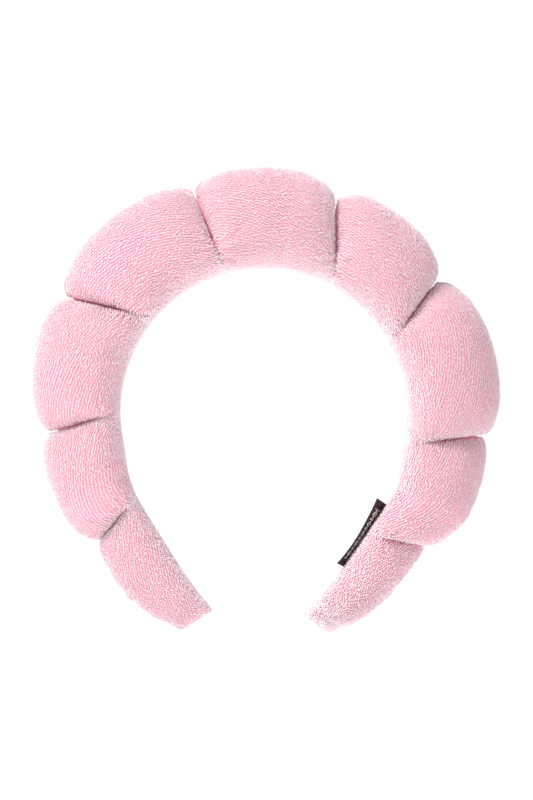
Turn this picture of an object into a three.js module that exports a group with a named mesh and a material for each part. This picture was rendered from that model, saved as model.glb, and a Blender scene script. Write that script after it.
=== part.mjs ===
// A puffy terry-cloth spa headband: an open spring hoop inside a stuffed terry sleeve, which eight
// threads tie into nine puffs, with a folded side label sewn to the inner edge of the right arm.
//
// Millimetres, +Z up. The band stands as it is worn: the crown puff is on top, the two tails point
// down, X runs from one ear to the other and Y from the face (-Y) to the back of the head (+Y).
// The origin is on the flat inner face of the crown, where the band sits on the head.
//
// Places along the band are stations: millimetres along its inner face, 0 at the crown's middle,
// negative on the left arm and positive on the right arm. Heights are measured outwards from the
// inner face, and depths along Y.
import * as THREE from 'three';

// ---- The arch of the inner face ----
const INNER_RADIUS = 54.5;
const LEFT_ARC_DEGREES = 122;
const RIGHT_ARC_DEGREES = 124.5;
const LEFT_LEG_LENGTH = 53.5;
const RIGHT_LEG_LENGTH = 53;
// The legs stand this much further out than the arch, from an ease that begins at this angle.
const LEG_FLARE = 3.6;
const FLARE_START_DEGREES = 95;
const SEAT_HALF_LENGTH = 4;

// ---- The sleeve, the stuffing and the hoop ----
const COVER_WALL = 2.2;
const INNER_WALL = 1.5;
const CLEARANCE = 0.3;
const HOOP_THICKNESS = 1.8;
const HOOP_DEPTH = 12;
const HOOP_END_DEPTH = 8;
const HOOP_LIFT = 0.9;
const HOOP_LOW = INNER_WALL + HOOP_LIFT + CLEARANCE;
const HOOP_HIGH = HOOP_LOW + HOOP_THICKNESS;
const HINGE_HEIGHT = (HOOP_LOW + HOOP_HIGH) / 2;

// ---- The tied necks between the puffs ----
const NECK_HEIGHT = 14.5;
const NECK_SIDE_STUFFING = 2.3;
const NECK_DEPTH = HOOP_DEPTH + 2 * (COVER_WALL + NECK_SIDE_STUFFING);
const NECK_LENGTH = 1.4;
const JOINT_GAP = 0.8;
const TIE_RADIUS = 0.4;

// ---- The shoulders, where a puff swells from its neck ----
const SHOULDER_LENGTH = 8;
const SHOULDER_FULLNESS = 0.2;
const SHOULDER_STEPS = [0.03, 0.15, 0.45, 1];

// ---- Faceting and the shape of a section ----
const SIDES = 16;
const ROUNDNESS = 0.85;
const FLATNESS = 0.38;
const TIE_SIDES = 6;
const HOOP_STEPS = 6;
const LONGEST_FACET = 7;

// ---- The closed ends of the tails ----
const END_HEIGHT = 14.5;
const END_DEPTH = HOOP_END_DEPTH + 2 * (COVER_WALL + NECK_SIDE_STUFFING);
const END_TAPER_LENGTH = 26;
const END_TAPER_STEPS = [0.35, 0.7, 1];
const END_GATHER_LENGTH = 3;
const END_GATHER_WAIST = 0.62;
const HOOP_END_MARGIN = 6;

// ---- The side label ----
const LABEL_LENGTH = 29;
const LABEL_WIDTH = 6.5;
const LABEL_THICKNESS = 0.7;
const LABEL_MARGIN = 2.6;
const LABEL_LIFT = 0.9;
const LABEL_TILT_DEGREES = 62;
const LABEL_THREAD_RADIUS = 0.35;
const LABEL_THREAD_LENGTH = 11;
const LABEL_THREAD_OFFSET = 1.2;

// Each groove's place on the inner face, the lean of its plane towards the right arm, and how far
// its joint opens, which sets the V that is left free above the hinge.
const GROOVES = [
  { station: -118.7, lean: -19, opens: 4.5 },
  { station: -86.6, lean: -15, opens: 6 },
  { station: -48.5, lean: -26, opens: 7.5 },
  { station: -14.9, lean: -6, opens: 9 },
  { station: 26.6, lean: -28, opens: 9 },
  { station: 57.1, lean: -24, opens: 7.5 },
  { station: 97, lean: -19, opens: 6 },
  { station: 133.5, lean: -24, opens: 4.5 },
];

// The nine puffs from the left tail over the crown to the right tail.
const PUFFS = [
  { name: 'left_tip', height: 22.5, depth: 25 },
  { name: 'left_low', height: 31.5, depth: 34 },
  { name: 'left_mid', height: 35.5, depth: 38 },
  { name: 'left_top', height: 39, depth: 40 },
  { name: 'crown', height: 39, depth: 40 },
  { name: 'right_top', height: 37.5, depth: 40 },
  { name: 'right_mid', height: 36, depth: 38 },
  { name: 'right_low', height: 31.5, depth: 34 },
  { name: 'right_tip', height: 22.5, depth: 25 },
];

const radians = THREE.MathUtils.degToRad;
const LEFT_ARC_END = -INNER_RADIUS * radians(LEFT_ARC_DEGREES);
const RIGHT_ARC_END = INNER_RADIUS * radians(RIGHT_ARC_DEGREES);
const LEFT_END = LEFT_ARC_END - LEFT_LEG_LENGTH;
const RIGHT_END = RIGHT_ARC_END + RIGHT_LEG_LENGTH;
const LABEL_START = RIGHT_ARC_END + LABEL_MARGIN;
const ARCH_CENTRE = new THREE.Vector3(0, 0, -INNER_RADIUS * Math.cos(SEAT_HALF_LENGTH / INNER_RADIUS));

// ---- Materials ----

/** Plain preview material of one kind of piece. */
function material(color, roughness) {
  return new THREE.MeshStandardMaterial({ color, roughness, metalness: 0 });
}

const terry = () => material(0xf6cbd8, 0.95);
const foam = () => material(0xf4efe2, 0.9);
const plastic = () => material(0xf2f0ee, 0.45);
const thread = () => material(0xe58ba3, 0.8);
const wovenTape = () => material(0x1c1a1a, 0.6);

// ---- Places along the band ----

/** The point, outward direction and direction of travel of the inner face at a station. */
function place(station) {
  const onArc = THREE.MathUtils.clamp(station, LEFT_ARC_END, RIGHT_ARC_END);
  const angle = onArc / INNER_RADIUS;
  const outward = new THREE.Vector3(Math.sin(angle), 0, Math.cos(angle));
  const along = new THREE.Vector3(Math.cos(angle), 0, -Math.sin(angle));
  const arcEnd = station < 0 ? LEFT_ARC_END : RIGHT_ARC_END;
  const flareStart = Math.sign(arcEnd) * INNER_RADIUS * radians(FLARE_START_DEGREES);
  const flare = LEG_FLARE * THREE.MathUtils.smoothstep(onArc / arcEnd, flareStart / arcEnd, 1);
  const point = ARCH_CENTRE.clone()
    .addScaledVector(outward, INNER_RADIUS + flare)
    .addScaledVector(along, station - onArc);
  return { point, outward, along };
}

/** The point at a station, a height and a depth, on a line that leans above the hinge height. */
function pointAt(station, lean, height, depth) {
  const { point, outward, along } = place(station);
  const rise = Math.max(height - HINGE_HEIGHT, 0);
  const result = point.clone().addScaledVector(outward, height);
  result.addScaledVector(along, rise * Math.tan(radians(lean)));
  result.y = depth;
  return result;
}

// ---- Sections and the solids lofted through them ----

/** Keeps a number's sign and raises its size to a power. */
function signedPower(value, power) {
  return Math.sign(value) * Math.abs(value) ** power;
}

/** Ring of points of a puff's section: flat towards the head and round outwards. */
function sectionRing({ station, lean, low, high, depth, floor = low }) {
  const middle = (low + high) / 2;
  const reach = (high - low) / 2;
  const ring = [];
  for (let side = 0; side < SIDES; side += 1) {
    const angle = ((side + 0.5) / SIDES) * 2 * Math.PI;
    const sine = Math.sin(angle);
    const height = middle + reach * signedPower(sine, sine < 0 ? FLATNESS : 1);
    const across = (depth / 2) * signedPower(Math.cos(angle), ROUNDNESS);
    ring.push(pointAt(station, lean, Math.max(height, floor), across));
  }
  return ring;
}

/** Ring of points of the flat hoop's section. */
function hoopRing(station, depth) {
  return [
    pointAt(station, 0, HOOP_LOW, depth / 2),
    pointAt(station, 0, HOOP_HIGH, depth / 2),
    pointAt(station, 0, HOOP_HIGH, -depth / 2),
    pointAt(station, 0, HOOP_LOW, -depth / 2),
  ];
}

/** Geometry of a closed skin of triangles, turned so that its faces point out. */
function closedGeometry(points, triangles) {
  const corner = (index) => points[index];
  const volume = triangles.reduce(
    (sum, [a, b, c]) => sum + corner(a).dot(corner(b).clone().cross(corner(c))),
    0,
  );
  const facing = volume > 0 ? triangles : triangles.map(([a, b, c]) => [a, c, b]);
  const geometry = new THREE.BufferGeometry();
  const positions = points.flatMap((point) => point.toArray());
  geometry.setAttribute('position', new THREE.Float32BufferAttribute(positions, 3));
  geometry.setIndex(facing.flat());
  geometry.computeVertexNormals();
  return geometry;
}

/** Triangles between each ring and the next one; the last meets the first where it closes. */
function bandTriangles(ringCount, sides, closes) {
  const triangles = [];
  const bands = closes ? ringCount : ringCount - 1;
  for (let band = 0; band < bands; band += 1) {
    const next = (band + 1) % ringCount;
    for (let side = 0; side < sides; side += 1) {
      const beside = (side + 1) % sides;
      const a = band * sides + side;
      const b = band * sides + beside;
      const c = next * sides + beside;
      const d = next * sides + side;
      triangles.push([a, b, c], [a, c, d]);
    }
  }
  return triangles;
}

/** Solid lofted through rings, with a flat cap at both ends. */
function loft(rings) {
  const sides = rings[0].length;
  const triangles = bandTriangles(rings.length, sides, false);
  const last = (rings.length - 1) * sides;
  for (let side = 1; side < sides - 1; side += 1) {
    triangles.push([0, side + 1, side], [last, last + side, last + side + 1]);
  }
  return closedGeometry(rings.flat(), triangles);
}

/** Solid lofted through rings that come back to the first: an open sleeve or a loop. */
function ringLoft(rings) {
  return closedGeometry(rings.flat(), bandTriangles(rings.length, rings[0].length, true));
}

// ---- One puff's run between its two grooves ----

/** Degrees that each side of a groove leans back, so that the joint can open with room to spare. */
function leanBack(opens, height, gap) {
  const reach = height - HINGE_HEIGHT;
  const missing = reach * Math.tan(radians(opens)) + CLEARANCE - gap;
  return THREE.MathUtils.radToDeg(Math.atan(Math.max(missing, 0) / (2 * reach)));
}

/** One end of a puff's run: its rim, its way inwards and how its rim and its shoulder lean. */
function runEnd(groove, tailEnd, inwards, height) {
  if (!groove) {
    return { rim: tailEnd, inwards, rimLean: 0, shoulderLean: 0, tied: false };
  }
  const rimBack = leanBack(groove.opens, NECK_HEIGHT, JOINT_GAP);
  const shoulderBack = leanBack(groove.opens, height, JOINT_GAP + 2 * NECK_LENGTH);
  return {
    rim: groove.station + (inwards * JOINT_GAP) / 2,
    inwards,
    rimLean: groove.lean + inwards * rimBack,
    shoulderLean: groove.lean + inwards * shoulderBack,
    tied: true,
  };
}

/** Sizes of one puff and the two grooves or the groove and the tail end that it runs between. */
function puffRun(index) {
  const puff = PUFFS[index];
  const start = runEnd(GROOVES[index - 1], LEFT_END, 1, puff.height);
  const end = runEnd(GROOVES[index], RIGHT_END, -1, puff.height);
  return { ...puff, start, end };
}

/** Lean of the section planes at a station: each shoulder keeps its groove's own lean. */
function leanAt(run, station) {
  const zone = NECK_LENGTH + COVER_WALL;
  const share = (station - run.start.rim - zone) / (run.end.rim - run.start.rim - 2 * zone);
  const { shoulderLean: from } = run.start;
  const { shoulderLean: to } = run.end;
  return THREE.MathUtils.lerp(from, to, THREE.MathUtils.clamp(share, 0, 1));
}

/** Sections of a puff from one of its ends to its middle, for a skin lying some way inside it. */
function endSections(run, { rim, inwards, rimLean, tied }, inset, insetLow) {
  const neckSize = { height: NECK_HEIGHT, depth: NECK_DEPTH };
  const tailSize = { height: END_HEIGHT, depth: END_DEPTH };
  const small = tied ? neckSize : tailSize;
  const section = (offset, share) => {
    const station = rim + inwards * offset;
    return {
      station,
      lean: offset > 0 ? leanAt(run, station) : rimLean,
      low: insetLow,
      high: THREE.MathUtils.lerp(small.height, run.height, share) - inset,
      depth: THREE.MathUtils.lerp(small.depth, run.depth, share) - 2 * inset,
    };
  };
  if (!tied) {
    const taper = (step) => section(step * END_TAPER_LENGTH, Math.sin((step * Math.PI) / 2));
    return [section(0, 0), ...END_TAPER_STEPS.map(taper)];
  }
  const neck = NECK_LENGTH + inset;
  const shoulder = (step) => {
    const share = (1 - (1 - step) ** 2) ** SHOULDER_FULLNESS;
    return section(neck + step * SHOULDER_LENGTH, share);
  };
  return [section(0, 0), section(neck, 0), ...SHOULDER_STEPS.map(shoulder)];
}

/** Stations between two others that keep every facet short, or the two sides of the flat seat. */
function stationsBetween(first, last) {
  if (first < -SEAT_HALF_LENGTH && last > SEAT_HALF_LENGTH) {
    const left = stationsBetween(first, -SEAT_HALF_LENGTH);
    const right = stationsBetween(SEAT_HALF_LENGTH, last);
    return [...left, -SEAT_HALF_LENGTH, SEAT_HALF_LENGTH, ...right];
  }
  const spaces = Math.max(Math.ceil((last - first) / LONGEST_FACET), 1);
  return Array.from({ length: spaces - 1 }, (_, step) => first + ((step + 1) * (last - first)) / spaces);
}

/** All sections of a puff's skin, from its start over its full middle to its end. */
function skinSections(run, inset, insetLow) {
  const first = endSections(run, run.start, inset, insetLow);
  const last = endSections(run, run.end, inset, insetLow).reverse();
  const middle = stationsBetween(first.at(-1).station, last[0].station).map((station) => ({
    station,
    lean: leanAt(run, station),
    low: insetLow,
    high: run.height - inset,
    depth: run.depth - 2 * inset,
  }));
  return [...first, ...middle, ...last];
}

// ---- The pieces ----

/** The terry sleeve of one puff: open at both necks, where the hoop and the stuffing pass. */
function coverGeometry(run) {
  const outer = skinSections(run, 0, 0).map(sectionRing);
  const inner = skinSections(run, COVER_WALL, INNER_WALL).map(sectionRing);
  return ringLoft([...outer, ...inner.reverse()]);
}

/** The stuffing of one puff, which lies on the hoop and fills the sleeve. */
function stuffingGeometry(run) {
  const inset = COVER_WALL + CLEARANCE;
  const floor = HOOP_HIGH + CLEARANCE;
  const sections = skinSections(run, inset, INNER_WALL + CLEARANCE);
  return loft(sections.map((section) => sectionRing({ ...section, floor })));
}

/** Depth of the hoop at a station: it narrows along the two straight legs. */
function hoopDepth(station) {
  const leg = station < 0 ? LEFT_END - LEFT_ARC_END : RIGHT_END - RIGHT_ARC_END;
  const start = station < 0 ? LEFT_ARC_END : RIGHT_ARC_END;
  const share = THREE.MathUtils.clamp((station - start) / leg, 0, 1);
  return THREE.MathUtils.lerp(HOOP_DEPTH, HOOP_END_DEPTH, share);
}

/** One puff's stretch of the flat spring hoop. */
function hoopGeometry(run) {
  const start = run.start.rim + (run.start.tied ? 0 : HOOP_END_MARGIN);
  const end = run.end.rim - (run.end.tied ? 0 : HOOP_END_MARGIN);
  const rings = [];
  for (let step = 0; step <= HOOP_STEPS; step += 1) {
    const station = THREE.MathUtils.lerp(start, end, step / HOOP_STEPS);
    rings.push(hoopRing(station, hoopDepth(station)));
  }
  return loft(rings);
}

/** The thread drawn over the neck of a puff, sewn in at half height on both of its sides. */
function tieGeometry(run, { rim, inwards }) {
  const station = rim + (inwards * NECK_LENGTH) / 2;
  const lean = leanAt(run, station);
  const strands = [];
  for (let corner = 0; corner < TIE_SIDES; corner += 1) {
    const angle = (corner / TIE_SIDES) * 2 * Math.PI;
    const lift = CLEARANCE + TIE_RADIUS * (1 + Math.sin(angle));
    strands.push(sectionRing({
      station: station + TIE_RADIUS * Math.cos(angle),
      lean,
      low: -lift,
      high: NECK_HEIGHT + lift,
      depth: NECK_DEPTH + 2 * lift,
    }));
  }
  const overTheTop = Array.from({ length: SIDES / 2 }, (_, side) => side);
  return loft(overTheTop.map((side) => strands.map((strand) => strand[side])));
}

/** The gathered cloth that closes a tail: a puckered plug that narrows away from the sleeve. */
function endGatherGeometry(isLeft) {
  const rim = isLeft ? LEFT_END : RIGHT_END;
  const outwards = isLeft ? -1 : 1;
  const ring = (offset, share) => {
    const spare = (1 - share) / 2;
    return sectionRing({
      station: rim + outwards * offset,
      lean: 0,
      low: END_HEIGHT * spare,
      high: END_HEIGHT * (1 - spare),
      depth: END_DEPTH * share,
    });
  };
  const swell = (1 + END_GATHER_WAIST) / 2;
  return loft([
    ring(CLEARANCE, 1),
    ring(END_GATHER_LENGTH / 2, swell),
    ring(END_GATHER_LENGTH, END_GATHER_WAIST),
  ]);
}

/** Bar lying along the right leg's inner face, given its own flat section. */
function legBar(start, length, corners) {
  const rings = [start, start + length].map((station) => {
    const { point, outward } = place(station);
    return corners.map(([height, depth]) => {
      const corner = point.clone().addScaledVector(outward, height);
      corner.y = depth;
      return corner;
    });
  });
  return loft(rings);
}

/** The folded label tape, standing from the inner face and leaning towards the front. */
function labelGeometry() {
  const tilt = radians(LABEL_TILT_DEGREES);
  const corner = (width, thickness) => [
    -LABEL_LIFT - width * Math.cos(tilt) + thickness * Math.sin(tilt),
    -width * Math.sin(tilt) - thickness * Math.cos(tilt),
  ];
  const half = LABEL_THICKNESS / 2;
  const corners = [corner(0, -half), corner(LABEL_WIDTH, -half), corner(LABEL_WIDTH, half), corner(0, half)];
  return legBar(LABEL_START, LABEL_LENGTH, corners);
}

/** The sewing thread that catches the label's fold, lying beside it on the right tail. */
function labelThreadGeometry() {
  const corners = [];
  for (let side = 0; side < TIE_SIDES; side += 1) {
    const angle = (side / TIE_SIDES) * 2 * Math.PI;
    corners.push([
      -CLEARANCE - LABEL_THREAD_RADIUS * (1 + Math.sin(angle)),
      LABEL_THREAD_OFFSET + LABEL_THREAD_RADIUS * Math.cos(angle),
    ]);
  }
  const end = LABEL_START + LABEL_LENGTH;
  return legBar(end - LABEL_THREAD_LENGTH, LABEL_THREAD_LENGTH, corners);
}

// ---- Assembly ----

/** Adds one named piece to a group. */
function addPiece(group, name, geometry, pieceMaterial) {
  const mesh = new THREE.Mesh(geometry, pieceMaterial);
  mesh.name = name;
  group.add(mesh);
}

/** One puff with its stretch of hoop, its stuffing, its sleeve and its tie threads. */
function buildPuff(index) {
  const run = puffRun(index);
  const puff = new THREE.Group();
  addPiece(puff, `${run.name}_hoop`, hoopGeometry(run), plastic());
  addPiece(puff, `${run.name}_stuffing`, stuffingGeometry(run), foam());
  addPiece(puff, `${run.name}_cover`, coverGeometry(run), terry());
  const crown = (PUFFS.length - 1) / 2;
  if (index !== crown) {
    const towardsCrown = index > crown ? run.start : run.end;
    addPiece(puff, `${run.name}_tie`, tieGeometry(run, towardsCrown), thread());
  }
  return puff;
}

const headband = new THREE.Group();
PUFFS.forEach((_, index) => headband.add(buildPuff(index)));
addPiece(headband, 'left_end_gather', endGatherGeometry(true), terry());
addPiece(headband, 'right_end_gather', endGatherGeometry(false), terry());
addPiece(headband, 'side_label', labelGeometry(), wovenTape());
addPiece(headband, 'label_thread', labelThreadGeometry(), thread());

export default headband;
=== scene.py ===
"""Looks of a padded terry-cloth spa headband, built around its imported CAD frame.

The headband is a flat plastic hoop inside a stuffed terry sleeve. Threads tied round the sleeve
divide it into nine puffs. Heights are measured outward from the face that lies on the head, depths
along Y, and stations along the hoop from the crown, where a negative one is on the left arm.
"""

import logging
import math
from dataclasses import dataclass, field
from enum import Enum
from typing import Any, ClassVar, Iterable, Optional

import bpy
import numpy as np
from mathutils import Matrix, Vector


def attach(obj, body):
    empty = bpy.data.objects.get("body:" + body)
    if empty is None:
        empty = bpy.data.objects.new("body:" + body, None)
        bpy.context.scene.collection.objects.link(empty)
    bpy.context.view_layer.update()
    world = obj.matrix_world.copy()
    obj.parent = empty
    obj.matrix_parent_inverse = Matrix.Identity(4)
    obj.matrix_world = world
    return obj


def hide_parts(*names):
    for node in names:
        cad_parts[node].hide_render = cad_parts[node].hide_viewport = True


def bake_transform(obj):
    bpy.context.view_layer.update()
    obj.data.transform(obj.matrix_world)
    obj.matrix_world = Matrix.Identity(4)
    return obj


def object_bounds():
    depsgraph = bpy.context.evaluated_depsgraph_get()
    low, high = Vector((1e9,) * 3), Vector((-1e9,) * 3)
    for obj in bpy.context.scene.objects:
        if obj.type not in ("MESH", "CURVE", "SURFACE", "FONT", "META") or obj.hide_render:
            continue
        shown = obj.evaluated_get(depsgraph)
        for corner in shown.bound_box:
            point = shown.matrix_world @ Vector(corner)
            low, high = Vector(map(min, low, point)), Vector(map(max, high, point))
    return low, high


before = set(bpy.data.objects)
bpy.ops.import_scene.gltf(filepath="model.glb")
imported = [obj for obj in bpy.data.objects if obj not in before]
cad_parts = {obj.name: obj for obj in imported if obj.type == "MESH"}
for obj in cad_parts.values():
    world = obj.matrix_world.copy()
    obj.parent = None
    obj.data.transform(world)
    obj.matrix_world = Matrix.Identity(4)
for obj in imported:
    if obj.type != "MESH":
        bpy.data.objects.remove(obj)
cad_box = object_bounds()

log = logging.getLogger("headband")
logging.basicConfig(level=logging.INFO, format="%(name)s: %(message)s")

MM = 0.001
FULL_TURN = 2 * math.pi


# ---------------------------------------------------------------- small helpers


def linear(code: str) -> tuple[float, float, float, float]:
    """Turns an sRGB hex colour into linear light.

    Args:
        code: The colour as #RRGGBB.

    Returns:
        Red, green, blue and an alpha of 1.
    """
    parts = [int(code[i : i + 2], 16) / 255 for i in (1, 3, 5)]
    red, green, blue = (
        c / 12.92 if c <= 0.04045 else ((c + 0.055) / 1.055) ** 2.4 for c in parts
    )
    return red, green, blue, 1.0


def smoothstep(low: float, high: float, value: np.ndarray) -> np.ndarray:
    """Eases value from 0 at low to 1 at high."""
    t = np.clip((value - low) / (high - low), 0, 1)
    return t * t * (3 - 2 * t)


def unit(vectors: np.ndarray) -> np.ndarray:
    """Scales each vector in the last axis to length 1."""
    return vectors / np.maximum(np.linalg.norm(vectors, axis=-1, keepdims=True), 1e-12)


def connect(tree: bpy.types.NodeTree, node: bpy.types.Node, links: dict[Any, Any]) -> None:
    """Fills a node's inputs.

    Args:
        tree: The tree that holds the node.
        node: The node.
        links: What each input, by name or number, takes: a socket to link or a value to set.
    """
    for key, value in links.items():
        if isinstance(value, bpy.types.NodeSocket):
            tree.links.new(value, node.inputs[key])
        else:
            node.inputs[key].default_value = value


def add_node(
    tree: bpy.types.NodeTree,
    kind: str,
    settings: Optional[dict[str, Any]] = None,
    links: Optional[dict[Any, Any]] = None,
) -> bpy.types.Node:
    """Adds one node to a shader or geometry tree.

    Args:
        tree: The tree that gets the node.
        kind: The node's Blender type name.
        settings: The node's own properties.
        links: What each input takes, as for connect.

    Returns:
        The new node.
    """
    made = tree.nodes.new(kind)
    for name, value in (settings or {}).items():
        setattr(made, name, value)
    connect(tree, made, links or {})
    return made


def maths(
    tree: bpy.types.NodeTree, operation: str, *values: Any, clamp: bool = False
) -> bpy.types.NodeSocket:
    """Adds a Math node and returns its output.

    Args:
        tree: The tree that gets the node.
        operation: The node's operation.
        values: What its inputs take.
        clamp: Whether the result is held between 0 and 1.

    Returns:
        The node's output.
    """
    settings = {"operation": operation, "use_clamp": clamp}
    return add_node(tree, "ShaderNodeMath", settings, dict(enumerate(values))).outputs[0]


def noise(
    tree: bpy.types.NodeTree, place: Any, scale: float, detail: float, distortion: float = 0.0
) -> bpy.types.NodeSocket:
    """Adds a noise pattern.

    Args:
        tree: The tree that gets the node.
        place: The socket with the pattern's coordinates.
        scale: Patches per unit of length.
        detail: How much fine detail it has.
        distortion: How much it is warped.

    Returns:
        The pattern's strength.
    """
    links = {"Vector": place, "Scale": scale, "Detail": detail, "Distortion": distortion}
    return add_node(tree, "ShaderNodeTexNoise", links=links).outputs[0]


def mixed(tree: bpy.types.NodeTree, share: Any, low: Any, high: Any) -> bpy.types.NodeSocket:
    """Mixes two colours, each given as #RRGGBB or as a socket.

    Args:
        tree: The tree that gets the node.
        share: The socket that says how much of the second colour there is.
        low: The first colour.
        high: The second colour.

    Returns:
        The mixed colour.
    """
    ends = [linear(colour) if isinstance(colour, str) else colour for colour in (low, high)]
    links = {0: share, 6: ends[0], 7: ends[1]}
    return add_node(tree, "ShaderNodeMix", {"data_type": "RGBA"}, links).outputs[2]


def raised(
    tree: bpy.types.NodeTree, height: Any, strength: float, distance: float
) -> bpy.types.NodeSocket:
    """Adds fine relief.

    Args:
        tree: The tree that gets the node.
        height: The socket with the pattern's height.
        strength: How much of the relief shows.
        distance: Its full height.

    Returns:
        The surface's direction.
    """
    links = {"Height": height, "Strength": strength, "Distance": distance}
    return add_node(tree, "ShaderNodeBump", links=links).outputs[0]


def cloth_map(tree: bpy.types.NodeTree) -> bpy.types.NodeSocket:
    """Adds the cloth's own map, in millimetres."""
    return add_node(tree, "ShaderNodeUVMap", {"uv_map": "cloth"}).outputs[0]


def object_place(tree: bpy.types.NodeTree) -> bpy.types.NodeSocket:
    """Adds the piece's own coordinates, in metres."""
    return add_node(tree, "ShaderNodeTexCoord").outputs["Object"]


def run_along(line: np.ndarray) -> np.ndarray:
    """Gives the distance run along a line at each of its points."""
    return np.concatenate([[0], np.cumsum(np.linalg.norm(np.diff(line, axis=0), axis=1))])


def read_at(wanted: np.ndarray, places: np.ndarray, values: np.ndarray) -> np.ndarray:
    """Interpolates values along their first axis.

    Args:
        wanted: The places to read at.
        places: The places of the values.
        values: The values.

    Returns:
        The values at the wanted places.
    """
    flat = values.reshape(len(values), -1)
    read = [np.interp(wanted, places, flat[:, column]) for column in range(flat.shape[1])]
    return np.stack(read, -1).reshape(len(wanted), *values.shape[1:])


def crease(far: np.ndarray, reach: float) -> np.ndarray:
    """Gives a crease's depth, from 1 in its line to 0 where it ends, with a sharp valley."""
    x = np.clip(far / reach, 0, 1)
    return 1 - np.sqrt(1 - (1 - x) ** 2)


def write_map(piece: bpy.types.Object, places: np.ndarray) -> None:
    """Writes the cloth's own map, in millimetres, from a place for each vertex."""
    corners = np.zeros(len(piece.data.loops), int)
    piece.data.loops.foreach_get("vertex_index", corners)
    layer = piece.data.uv_layers.new(name="cloth")
    layer.uv.foreach_set("vector", places[corners].astype(np.float32).ravel())


def new_mesh_object(
    name: str, points: np.ndarray, faces: Iterable[tuple[int, ...]]
) -> bpy.types.Object:
    """Makes a mesh object at the origin and links it to the scene.

    Args:
        name: The piece's name.
        points: One row of x, y, z for each vertex, in metres.
        faces: The vertex numbers of each face.

    Returns:
        The new object, shaded smooth.
    """
    mesh = bpy.data.meshes.new(name)
    mesh.from_pydata(np.asarray(points, float).reshape(-1, 3).tolist(), [], list(faces))
    mesh.update()
    if len(mesh.polygons):
        mesh.shade_smooth()
    made = bpy.data.objects.new(name, mesh)
    bpy.context.scene.collection.objects.link(made)
    return made


def plain_copy(source: bpy.types.Object, name: str) -> bpy.types.Object:
    """Turns an object's evaluated geometry into a plain mesh object and removes the source.

    Args:
        source: The object with its live modifiers.
        name: The piece's name.

    Returns:
        The new object without modifiers.
    """
    graph = bpy.context.evaluated_depsgraph_get()
    mesh = bpy.data.meshes.new_from_object(source.evaluated_get(graph))
    bpy.data.objects.remove(source)
    mesh.name = name
    made = bpy.data.objects.new(name, mesh)
    bpy.context.scene.collection.objects.link(made)
    return made


def report_piece(piece: bpy.types.Object, rides_on: str) -> None:
    """Logs one finished piece."""
    log.info("%s: %d faces, on %s", piece.name, len(piece.data.polygons), rides_on)


class Slot(Enum):
    """The record's material slots."""

    TERRY = "terry"
    STUFFING = "stuffing"
    HOOP = "hoop_plastic"
    THREAD = "thread"
    LABEL = "label_tape"


# ---------------------------------------------------------------- finishes


@dataclass(frozen=True)
class Finish:
    """A procedural material with one Principled shader, which each finish dresses."""

    title: ClassVar[str] = "finish"

    def dress(self, tree: bpy.types.NodeTree, shader: bpy.types.Node) -> None:
        """Sets the shader's sockets and adds the pattern nodes."""
        raise NotImplementedError

    def material(self) -> bpy.types.Material:
        """Makes the material once and returns it.

        Returns:
            The material, which later calls share.
        """
        found = bpy.data.materials.get(self.title)
        if found:
            return found
        made = bpy.data.materials.new(self.title)
        made.use_nodes = True
        tree = made.node_tree
        tree.nodes.clear()
        shader = add_node(tree, "ShaderNodeBsdfPrincipled")
        add_node(tree, "ShaderNodeOutputMaterial", links={0: shader.outputs[0]})
        self.dress(tree, shader)
        return made


@dataclass(frozen=True)
class TerryGround(Finish):
    """Piece-dyed cotton terry knit, the ground under the loops: dull, with a rib at each row. It is
    coloured darker than the loops, painted shade for the hollows between them and the tied grooves, in
    random lighter and darker patches.
    """

    title: ClassVar[str] = "terry_ground_cotton_knit"
    # Both colours are darker than the loops': painted shade for the ground between them.
    deep: str = "#EAA4B7"
    pale: str = "#F0B6C6"
    row_pitch_mm: float = 1.15
    patch_mm: float = 9.0

    def dress(self, tree: bpy.types.NodeTree, shader: bpy.types.Node) -> None:
        """Sets the shader's sockets and adds the pattern nodes."""
        place = cloth_map(tree)
        patches = noise(tree, place, 1 / self.patch_mm, 3.0)
        cells = {"Vector": place, "Scale": 1 / self.row_pitch_mm}
        ribs = add_node(tree, "ShaderNodeTexVoronoi", links=cells).outputs[0]
        sockets = {
            "Base Color": mixed(tree, patches, self.deep, self.pale),
            "Normal": raised(tree, ribs, 0.5, 0.3 * MM),
            "Roughness": 0.95,
            "Specular IOR Level": 0.15,
            "Sheen Weight": 0.25,
            "Sheen Roughness": 0.6,
        }
        connect(tree, shader, sockets)


@dataclass(frozen=True)
class TerryLoops(Finish):
    """Uncut loops of soft spun cotton: each is a little lighter or darker at random, and darker toward
    its base, painted shade for the depth of the pile.
    """

    title: ClassVar[str] = "terry_loops_spun_cotton"
    shaded_root: str = "#F0C0CD"
    dull: str = "#F3DEE5"
    bright: str = "#F7EEF2"
    gloss: str = "#FFE6EE"
    patch: float = 14 * MM

    def dress(self, tree: bpy.types.NodeTree, shader: bpy.types.Node) -> None:
        """Sets the shader's sockets and adds the pattern nodes."""
        tone = add_node(tree, "ShaderNodeAttribute", {"attribute_name": "tone"}).outputs["Fac"]
        tip = add_node(tree, "ShaderNodeAttribute", {"attribute_name": "tip"}).outputs["Fac"]
        patches = noise(tree, object_place(tree), 1 / self.patch, 2.0)
        lightness = maths(tree, "MULTIPLY_ADD", patches, 0.5, -0.25)
        summed = maths(tree, "ADD", lightness, tone, clamp=True)
        yarn = mixed(tree, summed, self.dull, self.bright)
        # Painted shade: each loop's colour darkens from its pale top down to its base.
        sockets = {
            "Base Color": mixed(tree, tip, self.shaded_root, yarn),
            "Roughness": 0.95,
            "Specular IOR Level": 0.1,
            "Sheen Weight": 0.35,
            "Sheen Roughness": 0.5,
            "Sheen Tint": linear(self.gloss),
        }
        connect(tree, shader, sockets)


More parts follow.
